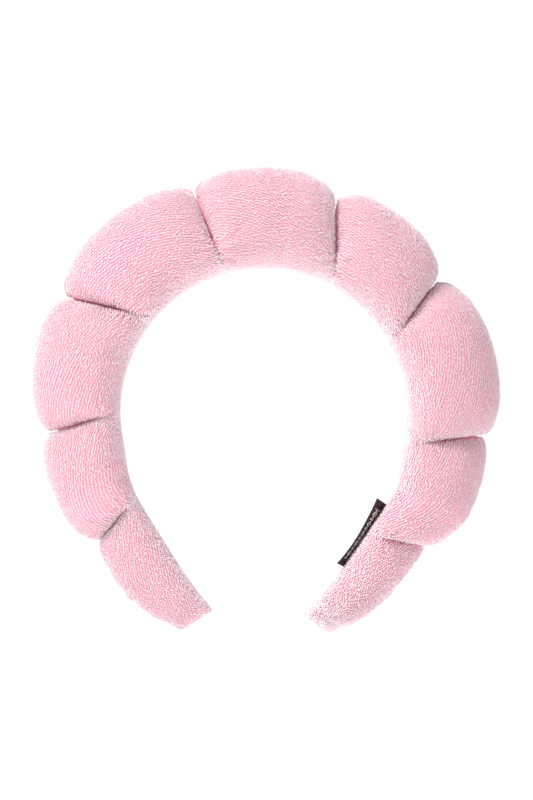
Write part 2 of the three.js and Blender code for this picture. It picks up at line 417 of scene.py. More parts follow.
@dataclass(frozen=True)
class SewingThread(Finish):
    """Spun polyester sewing thread, two plies twisted: a fine slanted rib and a soft gloss."""

    title: ClassVar[str] = "sewing_thread_spun_polyester"
    deep: str = "#E892AA"
    pale: str = "#F9C3D2"
    twist: float = 0.5 * MM

    def dress(self, tree: bpy.types.NodeTree, shader: bpy.types.Node) -> None:
        """Sets the shader's sockets and adds the pattern nodes."""
        place = object_place(tree)
        wave = {"Vector": place, "Scale": 1 / self.twist / FULL_TURN, "Distortion": 1.0}
        kind = {"bands_direction": "DIAGONAL"}
        plies = add_node(tree, "ShaderNodeTexWave", kind, wave).outputs["Fac"]
        # Painted shade: the colour darkens in the valleys between the plies, where the rib's relief is
        # low.
        sockets = {
            "Base Color": mixed(tree, plies, self.deep, self.pale),
            "Normal": raised(tree, plies, 0.4, 0.08 * MM),
            "Roughness": 0.55,
            "Sheen Weight": 0.15,
        }
        connect(tree, shader, sockets)


@dataclass(frozen=True)
class WovenTape(Finish):
    """Damask-woven polyester label tape: black satin ground, pale woven bars and diamonds."""

    title: ClassVar[str] = "label_tape_woven_polyester"
    ground: str = "#17120F"
    lit_ground: str = "#2B2521"
    figure: str = "#E9E6E2"
    thread_mm: float = 0.28
    repeat_mm: float = 4.4
    figure_mm: float = 3.4
    figure_middle_mm: float = 10.8
    diamond_share: float = 0.62
    heart_share: float = 0.15
    bar_mm: float = 0.36
    margin_mm: float = 3.4
    length_mm: float = 29.0

    def dress(self, tree: bpy.types.NodeTree, shader: bpy.types.Node) -> None:
        """Sets the shader's sockets and adds the pattern nodes."""

        def calc(operation: str, *values: Any) -> bpy.types.NodeSocket:
            """Adds a Math node to this material."""
            return maths(tree, operation, *values)

        place = cloth_map(tree)
        split = add_node(tree, "ShaderNodeSeparateXYZ", links={0: place})
        along, across = split.outputs[0], split.outputs[1]
        # Distance from the middle of the nearest figure, along and across the tape.
        from_middle = calc("ABSOLUTE", calc("SUBTRACT", across, self.figure_middle_mm))
        cell = calc("DIVIDE", calc("SUBTRACT", along, self.margin_mm), self.repeat_mm)
        in_cell = calc("ABSOLUTE", calc("SUBTRACT", calc("FRACT", cell), 0.5))
        from_cell = calc("MULTIPLY", in_cell, self.repeat_mm)
        away = calc("ADD", from_middle, from_cell)
        diamond = calc("LESS_THAN", away, self.figure_mm * self.diamond_share)
        heart = calc("LESS_THAN", away, self.figure_mm * self.heart_share)
        bar_place = calc("ABSOLUTE", calc("SUBTRACT", from_cell, self.repeat_mm / 2))
        bar_end = calc("LESS_THAN", from_middle, self.figure_mm * self.diamond_share)
        bar = calc("MULTIPLY", calc("LESS_THAN", bar_place, self.bar_mm), bar_end)
        after_margin = calc("GREATER_THAN", along, self.margin_mm)
        before_margin = calc("LESS_THAN", along, self.length_mm - self.margin_mm)
        inside = calc("MULTIPLY", after_margin, before_margin)
        figures = calc("MAXIMUM", calc("SUBTRACT", diamond, heart), bar)
        woven = calc("MULTIPLY", figures, inside)
        wave = {"Vector": place, "Scale": 1 / self.thread_mm / FULL_TURN * 2, "Distortion": 0.4}
        kind = {"bands_direction": "Y"}
        weft = add_node(tree, "ShaderNodeTexWave", kind, wave).outputs["Fac"]
        satin = mixed(tree, weft, self.ground, self.lit_ground)
        sockets = {
            "Base Color": mixed(tree, woven, satin, self.figure),
            "Normal": raised(tree, calc("ADD", weft, woven), 0.3, 0.05 * MM),
            "Roughness": 0.5,
            "Sheen Weight": 0.05,
        }
        connect(tree, shader, sockets)


@dataclass(frozen=True)
class MouldedStrip(Finish):
    """Injection-moulded polypropylene: milky white, faint flow marks, satin."""

    title: ClassVar[str] = "hoop_moulded_polypropylene"
    body: str = "#E9E6E0"
    flow: str = "#DAD6CE"

    def dress(self, tree: bpy.types.NodeTree, shader: bpy.types.Node) -> None:
        """Sets the shader's sockets and adds the pattern nodes."""
        marks = noise(tree, object_place(tree), 1 / (6 * MM), 4.0)
        sockets = {
            "Base Color": mixed(tree, marks, self.body, self.flow),
            "Normal": raised(tree, marks, 0.15, 0.1 * MM),
            "Roughness": 0.45,
            "IOR": 1.49,
        }
        connect(tree, shader, sockets)


@dataclass(frozen=True)
class FibreFill(Finish):
    """Carded hollow polyester fibre: white and matted, with painted shade darkening the hollows between
    the tufts.
    """

    title: ClassVar[str] = "stuffing_hollow_polyester_fibre"
    tuft: str = "#F7F5F2"
    # Painted shade in the hollows between the tufts.
    hollow: str = "#DCD8D2"

    def dress(self, tree: bpy.types.NodeTree, shader: bpy.types.Node) -> None:
        """Sets the shader's sockets and adds the pattern nodes."""
        tufts = noise(tree, object_place(tree), 1 / (2.5 * MM), 6.0, 1.5)
        # Painted shade: the colour darkens where the tufts' relief is low.
        sockets = {
            "Base Color": mixed(tree, tufts, self.hollow, self.tuft),
            "Normal": raised(tree, tufts, 0.8, 0.6 * MM),
            "Roughness": 1.0,
            "Sheen Weight": 0.3,
        }
        connect(tree, shader, sockets)


# ---------------------------------------------------------------- the band's layout


@dataclass(frozen=True)
class BandPath:
    """The line that the head side of the band follows: an arc with a straight leg at each end."""

    radius: float = 54.5 * MM
    seat_half: float = 4 * MM
    left_arc_end: float = -116.05 * MM
    right_arc_end: float = 118.42 * MM
    left_end: float = -169.55 * MM
    right_end: float = 173.6 * MM
    hinge_height: float = 3.6 * MM
    leg_flare: float = 3.6 * MM
    flare_place: tuple[float, float] = (96 * MM, 121 * MM)
    curl_start: float = 146 * MM
    curl: float = 2.6 * MM

    def axes(self, station: np.ndarray) -> tuple[np.ndarray, np.ndarray, np.ndarray]:
        """Finds the band's line and directions.

        Args:
            station: Distances along the band from the crown.

        Returns:
            The points on the head side, the directions along the band, and those away from the
            head, with x, y, z in the last axis.
        """
        on_arc = np.clip(station, self.left_arc_end, self.right_arc_end)
        angle = on_arc / self.radius
        nil = np.zeros_like(angle)
        outward = np.stack([np.sin(angle), nil, np.cos(angle)], -1)
        along = np.stack([np.cos(angle), nil, -np.sin(angle)], -1)
        centre = np.array([0, 0, -self.radius * math.cos(self.seat_half / self.radius)])
        # Each leg stands out a little from the arch, and its end curls back in.
        far = np.abs(station)
        flare = self.leg_flare * smoothstep(*self.flare_place, far)
        tail = (far - self.curl_start) / (self.right_end - self.curl_start)
        flare = flare - self.curl * np.maximum(tail, 0) ** 2
        points = centre + (self.radius + flare)[..., None] * outward
        points = points + (station - on_arc)[..., None] * along
        return points, along, outward

    def point(
        self, station: np.ndarray, height: np.ndarray, depth: np.ndarray, lean: np.ndarray
    ) -> np.ndarray:
        """Places points given by station, height and depth.

        Args:
            station: Distances along the band.
            height: Distances outward from the head side.
            depth: Distances along Y.
            lean: How far each section leans along the band, in radians.

        Returns:
            The points, with x, y, z in the last axis.
        """
        points, along, outward = self.axes(station)
        shift = np.maximum(height - self.hinge_height, 0) * np.tan(lean)
        placed = points + outward * height[..., None] + along * shift[..., None]
        placed[..., 1] += depth
        return placed


@dataclass(frozen=True)
class Groove:
    """One tied groove between two puffs."""

    station: float
    lean: float
    notch: float
    inner_body: str
    outer_body: str
    top_crease: float = 3.0
    face_crease: float = 5.6


@dataclass(frozen=True)
class Puff:
    """One stuffed section between two grooves, or between a groove and an end."""

    name: str
    peak: float
    depth: float


TOWARD_BACK = np.array([0.0, 1.0, 0.0])
GROOVES = (
    Groove(-118.7 * MM, -19, 17.8 * MM, "left_low", "left_tip", 3.0, 4.4),
    Groove(-86.6 * MM, -15, 23.6 * MM, "left_mid", "left_low", 3.6, 5.6),
    Groove(-48.5 * MM, -26, 28.2 * MM, "left_top", "left_mid", 3.6, 6.0),
    Groove(-14.9 * MM, -6, 29.6 * MM, "crown", "left_top", 4.0, 6.2),
    Groove(26.6 * MM, -28, 26.0 * MM, "crown", "right_top", 4.2, 6.2),
    Groove(57.1 * MM, -24, 23.2 * MM, "right_top", "right_mid", 4.2, 6.0),
    Groove(97.0 * MM, -19, 25.4 * MM, "right_mid", "right_low", 3.6, 5.6),
    Groove(133.5 * MM, -24, 19.4 * MM, "right_low", "right_tip", 3.0, 4.2),
)
PUFFS = (
    Puff("left_tip", 21.4 * MM, 12.0 * MM),
    Puff("left_low", 27.8 * MM, 15.2 * MM),
    Puff("left_mid", 31.9 * MM, 17.2 * MM),
    Puff("left_top", 35.9 * MM, 18.0 * MM),
    Puff("crown", 35.4 * MM, 18.0 * MM),
    Puff("right_top", 32.6 * MM, 17.8 * MM),
    Puff("right_mid", 32.5 * MM, 17.2 * MM),
    Puff("right_low", 26.4 * MM, 15.2 * MM),
    Puff("right_tip", 18.4 * MM, 12.0 * MM),
)


# How fast each wave of the lumps runs along the band and outward, and where it starts.
LUMP_WAVES = (
    (71, 113, 0.4),
    (-97, 151, 2.1),
    (149, -83, 4.0),
    (211, 190, 1.1),
    (-260, 97, 5.2),
)
LUMP_DEPTH = 0.16 * MM
TRIAL_SCALE = 100.0
TRIAL_FRAMES = 20
TRIAL_CLOTH = {
    "vertex_group_mass": "held",
    "quality": 6,
    "mass": 0.12,
    "tension_stiffness": 18,
    "compression_stiffness": 14,
    "shear_stiffness": 6,
    "bending_stiffness": 0.25,
    "air_damping": 2,
    "shrink_min": -0.07,
    "use_pressure": True,
    "uniform_pressure_force": 4,
}


@dataclass
class Sleeve:
    """The terry sleeve: one tube of cloth, gathered at each groove and sewn shut at both ends."""

    path: BandPath = field(default_factory=BandPath)
    wall: float = 1.3 * MM
    around: int = 104
    ring_pitch: float = 1.35 * MM
    groove_pitch: float = 0.42 * MM
    groove_zone: float = 2.6 * MM
    end_pitch: float = 0.6 * MM
    end_zone: float = 3.0 * MM
    middle_share: float = 0.40
    head_gap: float = 1.2 * MM
    outer_power: float = 2.15
    head_power: float = 3.0
    broad_reach: float = 12.0 * MM
    narrow_reach: float = 2.0 * MM
    narrow_share: float = 0.48
    end_height: tuple[float, float] = (14.6 * MM, 12.6 * MM)
    end_depth: float = 8.3 * MM
    end_round: float = 3.2 * MM
    tail_peak: float = 0.72
    tail_fall: float = 0.28
    pucker_folds: int = 11
    pucker_depth: float = 0.55 * MM
    pucker_height: float = 0.30
    pucker_reach: float = 3.0 * MM
    crease_end: float = 16.8 * MM
    top_zone: tuple[float, float] = (0.55, 0.95)
    full_zone: tuple[float, float] = (0.22, 0.52)
    face_zone: tuple[float, float] = (0.55, 0.9)
    fold_pitch: float = 1.45 * MM
    fold_depth: float = 0.22 * MM
    fold_reach: float = 3.6 * MM
    gathers: tuple[int, int] = (13, 12)
    gather_reach: float = 4.5 * MM
    gather_depth: float = 0.32 * MM
    swell_cap: float = 2.8 * MM
    trial_share: float = 0.62
    trial_skip: int = 2
    held_tie: float = 0.9 * MM
    held_low: float = 2.2 * MM
    held_end: float = 5 * MM
    stations: np.ndarray = field(init=False)
    grid: np.ndarray = field(init=False)
    normals: np.ndarray = field(init=False)
    cuts: list[int] = field(init=False)

    # ---- sizes along the band

    def ring_stations(self) -> np.ndarray:
        """Spaces the rings along the band, closer together at the grooves."""
        fine = np.linspace(self.path.left_end, self.path.right_end, 8001)
        density = np.full_like(fine, 1 / self.ring_pitch)
        for groove in GROOVES:
            density += np.exp(-(((fine - groove.station) / self.groove_zone) ** 2)) / self.groove_pitch
        for end in (self.path.left_end, self.path.right_end):
            density += np.exp(-(((fine - end) / self.end_zone) ** 2)) / self.end_pitch
        count = np.concatenate([[0], np.cumsum((density[1:] + density[:-1]) / 2 * np.diff(fine))])
        rings = int(round(count[-1]))
        placed = np.interp(np.linspace(0, count[-1], rings + 1), count, fine)
        for groove in GROOVES:
            placed[np.argmin(np.abs(placed - groove.station))] = groove.station
        return placed

    def lean(self, station: np.ndarray) -> np.ndarray:
        """Eases the sections' lean from one groove to the next, in radians."""
        knots = [self.path.left_end, *(g.station for g in GROOVES), self.path.right_end]
        leans = [0, *(g.lean for g in GROOVES), 0]
        return np.radians(self.eased(station, knots, leans))

    @staticmethod
    def eased(station: np.ndarray, knots: list[float], values: list[float]) -> np.ndarray:
        """Interpolates with a smooth step between each two knots."""
        place = np.clip(np.searchsorted(knots, station) - 1, 0, len(knots) - 2)
        low, high = np.array(knots)[place], np.array(knots)[place + 1]
        share = np.clip((station - low) / (high - low), 0, 1)
        share = share * share * (3 - 2 * share)
        return np.array(values)[place] * (1 - share) + np.array(values)[place + 1] * share

    def puff_share(self, station: np.ndarray) -> tuple[np.ndarray, np.ndarray]:
        """Says which puff each station is in and how far along it, from 0 to 1."""
        edges = np.array([self.path.left_end, *(g.station for g in GROOVES), self.path.right_end])
        which = np.clip(np.searchsorted(edges, station, side="right") - 1, 0, len(PUFFS) - 1)
        share = (station - edges[which]) / (edges[which + 1] - edges[which])
        return which, np.clip(share, 0, 1)

    def envelope(self, station: np.ndarray) -> tuple[np.ndarray, np.ndarray]:
        """Gives the sleeve's height and half depth at each station, before its creases.

        Args:
            station: Distances along the band.

        Returns:
            Heights and half depths.
        """
        which, share = self.puff_share(station)
        notches = [self.end_height[0], *(g.notch + g.top_crease * MM for g in GROOVES)]
        notches.append(self.end_height[1])
        shallow = [self.end_depth]
        for before, after in zip(PUFFS, PUFFS[1:]):
            shallow.append(0.90 * (min(before.depth, after.depth) + before.depth + after.depth) / 3)
        shallow.append(self.end_depth)
        peaks = np.array([p.peak for p in PUFFS])[which]
        depths = np.array([p.depth for p in PUFFS])[which]
        scallop = (1 - np.abs(2 * share - 1) ** 2.3) ** 0.8
        low, high = np.array(notches)[which], np.array(notches)[which + 1]
        base = low + (high - low) * share
        height = base + (peaks - (low + high) / 2) * scallop
        low, high = np.array(shallow)[which], np.array(shallow)[which + 1]
        base = low + (high - low) * share
        depth = base + (depths - (low + high) / 2) * scallop
        # The tails swell just past their groove and then taper to the sewn end.
        for index, side, end in ((0, 0, self.path.left_end), (len(PUFFS) - 1, 1, self.path.right_end)):
            tail = which == index
            inward = np.abs(station - end)
            length = abs(GROOVES[0 if side == 0 else -1].station - end)
            t = np.clip(inward / length, 0, 1)
            rise = np.clip(t / self.tail_peak, 0, 1)
            rise = np.sin(rise * math.pi / 2) ** 1.25
            fall = np.clip((t - self.tail_peak) / self.tail_fall, 0, 1) ** 2
            notch = notches[1 if side == 0 else -2]
            top = PUFFS[index].peak
            tall = self.end_height[side] + (top - self.end_height[side]) * rise
            tall += (notch - top) * fall
            wide = self.end_depth + (PUFFS[index].depth - self.end_depth) * rise
            wide += (shallow[1 if side == 0 else -2] - PUFFS[index].depth) * fall
            height = np.where(tail, tall, height)
            depth = np.where(tail, wide, depth)
        return height, depth

    # ---- the cloth's surface

    def section(self, height: float, depth: float, turn: np.ndarray) -> np.ndarray:
        """Draws one cross section, from the middle of the head side round by +Y.

        Args:
            height: The section's height.
            depth: Its half depth.
            turn: Angles from the middle of the head side.

        Returns:
            Height and depth of each point, in the last axis.
        """
        middle = self.middle_share * height
        cos, sin = np.cos(turn), np.sin(turn)
        head = cos > 0
        power = np.where(head, 2 / self.head_power, 2 / self.outer_power)
        reach = np.where(head, self.head_gap - middle, height - middle)
        rise = middle + reach * np.abs(cos) ** power
        return np.stack([rise, depth * np.sign(sin) * np.abs(sin) ** power], -1)

    def rest_grid(self, stations: np.ndarray) -> np.ndarray:
        """Lays the cloth over the stuffing, with the creases that the ties pull in.

        Args:
            stations: The rings' places along the band.

        Returns:
            Points by ring and by place around the ring. The first one in each ring is at the
            middle of the head side.
        """
        height, depth = self.envelope(stations)
        turn = np.linspace(0, FULL_TURN, 721)
        share = np.arange(self.around) / self.around
        rings = []
        for station, tall, wide in zip(stations, height, depth):
            tall, wide = self.round_end(station, tall, wide)
            drawn = self.section(tall, wide, turn)
            run = run_along(drawn)
            ring = read_at(share * run[-1], run, drawn)
            ring = self.creased(station, tall, wide, ring)
            placed = np.full(len(ring), station)
            rings.append(self.path.point(placed, ring[:, 0], ring[:, 1], self.lean(placed)))
        return np.array(rings)

    def round_end(self, station: float, tall: float, wide: float) -> tuple[float, float]:
        """Narrows the last rings at a sewn end.

        Args:
            station: The ring's place along the band.
            tall: Its height.
            wide: Its half depth.

        Returns:
            The ring's height and half depth.
        """
        left, right = station - self.path.left_end, self.path.right_end - station
        inward = min(left, right)
        if inward >= self.end_round:
            return tall, wide
        t = 1 - inward / self.end_round
        bow = math.sqrt(max(1 - t**2, 0))
        return tall * (0.90 + 0.10 * bow), wide * (0.07 + 0.93 * bow)

    def creased(self, station: float, tall: float, wide: float, ring: np.ndarray) -> np.ndarray:
        """Pulls one ring in at the grooves, and puckers the cloth round them.

        Args:
            station: The ring's place along the band.
            tall: Its height.
            wide: Its half depth.
            ring: Height and depth of each point.

        Returns:
            The ring with its creases.
        """
        middle = self.middle_share * tall
        rise, side = ring[:, 0], ring[:, 1]
        reach = np.where(rise > middle, tall - middle, middle - self.head_gap)
        away = unit(np.stack([(rise - middle) / reach**2, side / wide**2], -1))
        inward = np.zeros(len(ring))
        for number, groove in enumerate(GROOVES):
            gap = station - groove.station
            on_arc = abs(groove.station) < self.path.right_arc_end
            stretch = 1 + rise / self.path.radius if on_arc else np.ones_like(rise)
            far = np.abs(gap) * stretch
            if np.min(far) > self.crease_end:
                continue
            top = smoothstep(*self.top_zone, np.clip(away[:, 0], 0, 1))
            depth = (groove.face_crease * (1 - top) + groove.top_crease * top) * MM
            full = smoothstep(*self.full_zone, rise / tall)
            depth = depth * full
            broad, narrow = crease(far, self.broad_reach), crease(far, self.narrow_reach)
            inward += depth * ((1 - self.narrow_share) * broad + self.narrow_share * narrow)
            # Short folds cross the groove where the tie bunches the cloth.
            folds = np.sin(rise / self.fold_pitch + 1.7 * number + np.sign(gap) * 0.9)
            inward += self.fold_depth * folds * full * np.exp(-((far / self.fold_reach) ** 2))
            # A burst of puckers spreads from the groove's end near the head side.
            end = self.pucker_height * tall
            across = (rise - end, gap * stretch)
            radius = np.hypot(*across)
            turn = np.arctan2(across[0], across[1])
            swell = radius / self.pucker_reach * np.exp(1 - radius / self.pucker_reach)
            on_face = smoothstep(*self.face_zone, np.abs(side) / wide)
            burst = np.cos(self.pucker_folds * turn + number)
            inward += self.pucker_depth * burst * swell * on_face
        inward += self.unevenness(station, rise, side)
        for end, groups in zip((self.path.left_end, self.path.right_end), self.gathers):
            near = math.exp(-(((station - end) / self.gather_reach) ** 2))
            around = np.arctan2(side, rise - middle)
            inward += self.gather_depth * near * np.cos(groups * around)
        return ring - away * inward[:, None]

    @staticmethod
    def unevenness(station: float, rise: np.ndarray, side: np.ndarray) -> np.ndarray:
        """Gives the shallow lumps of hand stuffing, as a distance inward."""
        lumps = np.zeros_like(rise)
        for one, two, start in LUMP_WAVES:
            swing = station * one * 1.7 + rise * two + np.sign(side) * 1.3 + start
            lumps += LUMP_DEPTH * np.sin(swing)
        return lumps * smoothstep(0.002, 0.010, rise)

    # ---- settling and refining

    def settle(self, stations: np.ndarray, grid: np.ndarray) -> np.ndarray:
        """Lets the cloth swell between its ties in a short cloth simulation.

        The simulation runs on a coarse tube in centimetres, because Blender's cloth is tuned for
        garments. The tie lines, the head side and the ends are held.

        Args:
            stations: The rings' places along the band.
            grid: The rest grid.

        Returns:
            The grid with the cloth's own swelling and wrinkles.
        """
        scale = TRIAL_SCALE
        wanted = np.linspace(0, len(stations) - 1, int(len(stations) * self.trial_share))
        rings = np.unique(wanted.round().astype(int))
        columns = np.arange(0, self.around, self.trial_skip)
        coarse = grid[np.ix_(rings, columns)] * scale
        count, around = coarse.shape[:2]
        tube = new_mesh_object("cloth_trial", coarse, tube_faces(count, around))
        turn_outward(tube)
        held = tube.vertex_groups.new(name="held")
        height, _ = self.envelope(stations[rings])
        points, _, outward = self.path.axes(stations[rings])
        rise = ((grid[np.ix_(rings, columns)] - points[:, None]) * outward[:, None]).sum(-1)
        nearest = np.min([np.abs(stations[rings] - g.station) for g in GROOVES], axis=0)
        tied = (nearest < self.held_tie)[:, None] & (rise > 0.25 * height[:, None])
        low = rise < self.held_low
        left_edge, right_edge = self.path.left_end, self.path.right_end
        ends = stations[rings] < left_edge + self.held_end
        ends |= stations[rings] > right_edge - self.held_end
        pins = np.flatnonzero((tied | low | ends[:, None]).ravel())
        held.add(pins.tolist(), 1.0, "REPLACE")
        cloth = tube.modifiers.new("cloth", "CLOTH")
        for name, value in TRIAL_CLOTH.items():
            setattr(cloth.settings, name, value)
        cloth.settings.effector_weights.gravity = 0
        cloth.collision_settings.use_collision = False
        scene = bpy.context.scene
        cloth.point_cache.frame_start = 1
        cloth.point_cache.frame_end = TRIAL_FRAMES
        for number in range(1, TRIAL_FRAMES + 1):
            scene.frame_set(number)
        graph = bpy.context.evaluated_depsgraph_get()
        swollen = np.zeros(count * around * 3)
        tube.evaluated_get(graph).data.vertices.foreach_get("co", swollen)
        bpy.data.objects.remove(tube)
        scene.frame_set(1)
        moved = (swollen.reshape(count, around, 3) - coarse) / scale
        length = np.linalg.norm(moved, axis=-1, keepdims=True)
        cap = self.swell_cap
        moved = moved * cap * np.tanh(length / cap) / np.maximum(length, 1e-12)
        log.info("cloth swells up to %.2f mm", float(length.max()) / MM)
        return grid + self.spread(moved, rings, columns, grid.shape[:2])

    @staticmethod
    def spread(
        moved: np.ndarray, rings: np.ndarray, columns: np.ndarray, shape: tuple[int, int]
    ) -> np.ndarray:
        """Carries the coarse tube's moves over to the fine grid, smoothly.

        Args:
            moved: The moves by coarse ring and column.
            rings: The coarse rings' numbers in the fine grid.
            columns: The coarse columns' numbers in the fine grid.
            shape: The fine grid's rings and columns.

        Returns:
            The moves by fine ring and column.
        """
        round_again = np.concatenate([moved, moved[:, :1]], axis=1)
        places = np.append(columns, shape[1])
        wide = read_at(np.arange(shape[1]), places, round_again.swapaxes(0, 1))
        full = read_at(np.arange(shape[0]), rings, wide.swapaxes(0, 1))
        for _ in range(2):
            full = (np.roll(full, 1, 1) + 2 * full + np.roll(full, -1, 1)) / 4
            full[1:-1] = (full[:-2] + 2 * full[1:-1] + full[2:]) / 4
        return full

    def lay(self) -> None:
        """Makes the whole sleeve's grid and finds where it is cut into pieces."""
        self.stations = self.ring_stations()
        self.grid = self.rest_grid(self.stations)
        self.grid = self.settle(self.stations, self.grid)
        self.normals = grid_normals(self.grid)
        middles = [(a.station + b.station) / 2 for a, b in zip(GROOVES, GROOVES[1:])]
        inner = [int(np.argmin(np.abs(self.stations - m))) for m in middles]
        self.cuts = [0, *inner, len(self.stations) - 1]

    # ---- pieces

    def piece_mesh(self, number: int) -> bpy.types.Object:
        """Makes one piece of the sleeve as a closed wall of cloth.

        Args:
            number: The piece's number, from the left end.

        Returns:
            The piece.
        """
        first, last = self.cuts[number], self.cuts[number + 1]
        outer = self.grid[first : last + 1]
        inner = outer - self.wall * self.normals[first : last + 1]
        rings, around = outer.shape[:2]
        total = rings * around
        faces = tube_faces(rings, around)
        faces += [tuple(total + v for v in reversed(face)) for face in tube_faces(rings, around)]
        sharp: list[tuple[int, int]] = []
        for ring, at_end, turned in (
            (0, first == 0, True),
            (rings - 1, last == len(self.stations) - 1, False),
        ):
            start = ring * around
            if at_end:
                for base, flip in ((start, turned), (total + start, not turned)):
                    faces += sewn_faces(base, around, flip)
                continue
            for column in range(around):
                here, after = start + column, start + (column + 1) % around
                face = (here, after, total + after, total + here)
                faces.append(face if turned else face[::-1])
                sharp += [(here, after), (total + here, total + after)]
        piece = new_mesh_object(
            f"terry_sleeve_{number + 1}", np.concatenate([outer, inner]).reshape(-1, 3), faces
        )
        turn_outward(piece)
        self.sharpen(piece, sharp)
        self.map_cloth(piece, first, rings, around)
        return piece

    @staticmethod
    def sharpen(piece: bpy.types.Object, edges: list[tuple[int, int]]) -> None:
        """Marks the cut rims sharp, so that the cloth looks unbroken across them."""
        wanted = {frozenset(edge) for edge in edges}
        for edge in piece.data.edges:
            if frozenset(edge.vertices) in wanted:
                edge.use_edge_sharp = True

    def map_cloth(self, piece: bpy.types.Object, first: int, rings: int, around: int) -> None:
        """Writes the cloth's own map in millimetres, along the band and around it."""
        girth = np.linalg.norm(
            self.grid[first : first + rings] - np.roll(self.grid[first : first + rings], 1, 1),
            axis=-1,
        ).sum(1)
        places = np.empty((rings, around, 2))
        places[..., 0] = self.stations[first : first + rings, None] / MM
        places[..., 1] = np.arange(around)[None] / around * girth[:, None] / MM
        both = np.concatenate([places.reshape(-1, 2)] * 2)
        write_map(piece, both)

    def bend(self, piece: bpy.types.Object, number: int, reach: float = 12 * MM) -> None:
        """Bakes a piece's placement into its mesh, without bending it across its groove's joint.

        Args:
            piece: The piece, in place.
            number: The groove's number, from the left end.
            reach: Not used.
        """
        groove = GROOVES[number]
        points, along, outward = self.path.axes(np.array([groove.station]))
        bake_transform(piece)

    def replaced(self, number: int) -> list[str]:
        """Names the CAD solids that a piece of the sleeve stands for."""
        groove = GROOVES[number]
        nodes = [f"{groove.outer_body}_cover"]
        if number in (3, 4):
            nodes.append("crown_cover")
        if number == 0:
            nodes.append("left_end_gather")
        if number == len(GROOVES) - 1:
            nodes.append("right_end_gather")
        return nodes

    def build(self) -> None:
        """Makes the sleeve's pieces and dresses them."""
        for number in range(len(GROOVES)):
            piece = self.piece_mesh(number)
            piece.data.materials.append(TerryGround().material())
            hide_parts(*self.replaced(number))
            self.bend(piece, number)
            report_piece(piece, f"{GROOVES[number].inner_body} and {GROOVES[number].outer_body}")


def tube_faces(rings: int, around: int) -> list[tuple[int, ...]]:
    """Lists the faces of a tube of rings, turned outward."""
    faces = []
    for ring in range(rings - 1):
        for column in range(around):
            after = (column + 1) % around
            low, high = ring * around, (ring + 1) * around
            faces.append((low + column, low + after, high + after, high + column)[::-1])
    return faces


def sewn_faces(base: int, around: int, flip: bool) -> list[tuple[int, ...]]:
    """Closes a flattened ring with a row of faces across it.

    Args:
        base: The ring's first vertex.
        around: How many vertices the ring has.
        flip: Whether the faces turn the other way.

    Returns:
        The faces.
    """
    faces: list[tuple[int, ...]] = []
    half = around // 2
    for step in range(half):
        here, after = base + step, base + step + 1
        far, far_after = base + (around - step) % around, base + around - step - 1
        face: tuple[int, ...] = (here, after, far_after, far)
        if step == 0:
            face = (here, after, far_after)
        if step == half - 1:
            face = (here, after, far)
        faces.append(face if flip else face[::-1])
    return faces


def grid_normals(grid: np.ndarray) -> np.ndarray:
    """Gives the outward normal at each point of a grid of rings."""
    along = np.gradient(grid, axis=0)
    around = np.roll(grid, -1, 1) - np.roll(grid, 1, 1)
    normals = unit(np.cross(around, along))
    centres = grid.mean(1, keepdims=True)
    if ((grid - centres) * normals).sum() < 0:
        normals = -normals
    return normals


# ---------------------------------------------------------------- arches of yarn and thread


